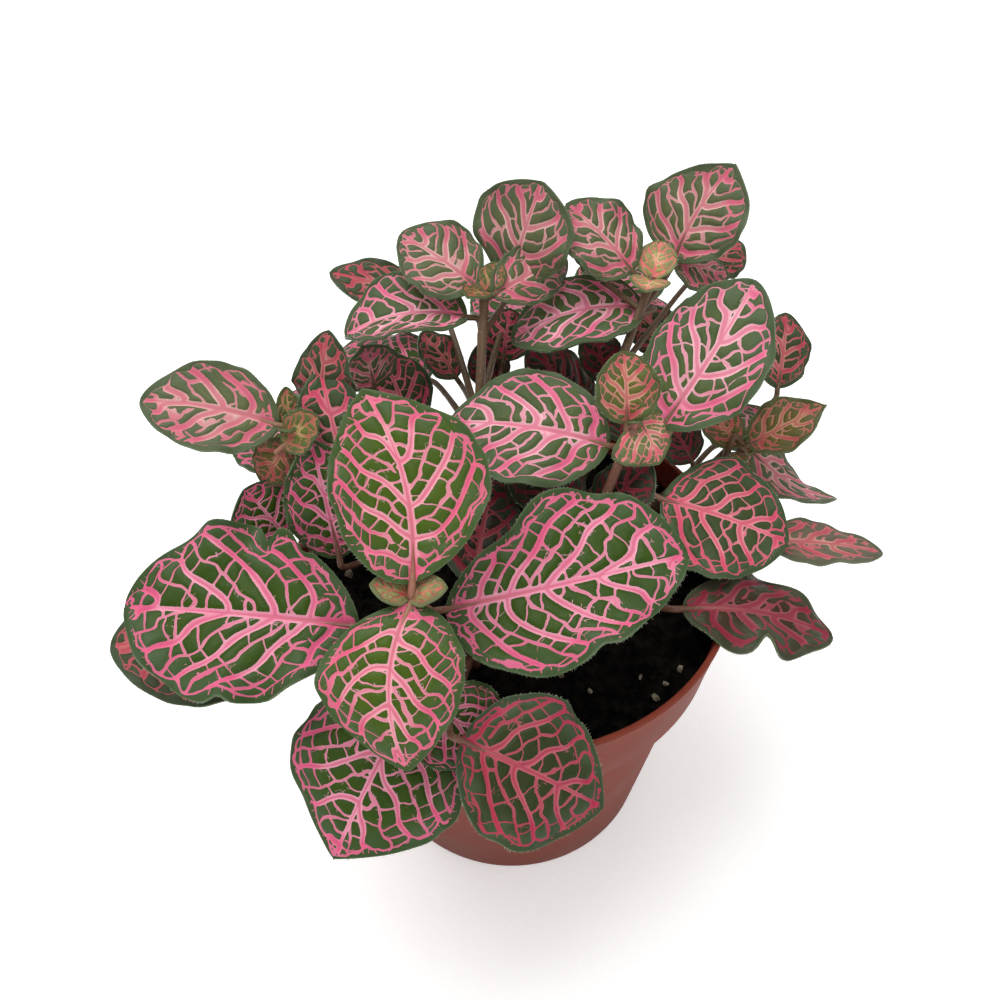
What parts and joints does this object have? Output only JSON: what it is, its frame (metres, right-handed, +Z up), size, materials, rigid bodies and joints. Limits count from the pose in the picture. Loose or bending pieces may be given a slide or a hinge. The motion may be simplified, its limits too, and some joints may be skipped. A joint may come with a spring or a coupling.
{
  "type": "potted nerve plant",
  "caption": "Small pink-veined nerve plant with opposite pairs of waved oval leaves on fleshy stems, in a tapered plastic nursery pot of dark soil.",
  "frame": {"origin": "middle of the pot's base, on the surface that it stands on", "axes": "+Z up along the pot's axis; -Y towards the side with the largest leaves, where the picture was taken from; +X to the right seen from there"},
  "size_m": [0.1517, 0.1446, 0.1213],
  "materials": {
    "pot_plastic": "matte terracotta-coloured plastic",
    "potting_soil": "dark damp peat, rough",
    "veined_leaf": "satin green leaf with a net of pink veins, on pinkish-brown stems"
  },
  "bodies": {
    "root": {"pot": "pot_plastic", "soil": "potting_soil", "stem_front": "veined_leaf", "stem_left": "veined_leaf", "stem_back_left": "veined_leaf", "stem_back_right": "veined_leaf", "stem_back_low": "veined_leaf", "stem_middle": "veined_leaf", "stem_right": "veined_leaf", "stem_right_low": "veined_leaf"}
  },
  "joints": []
}
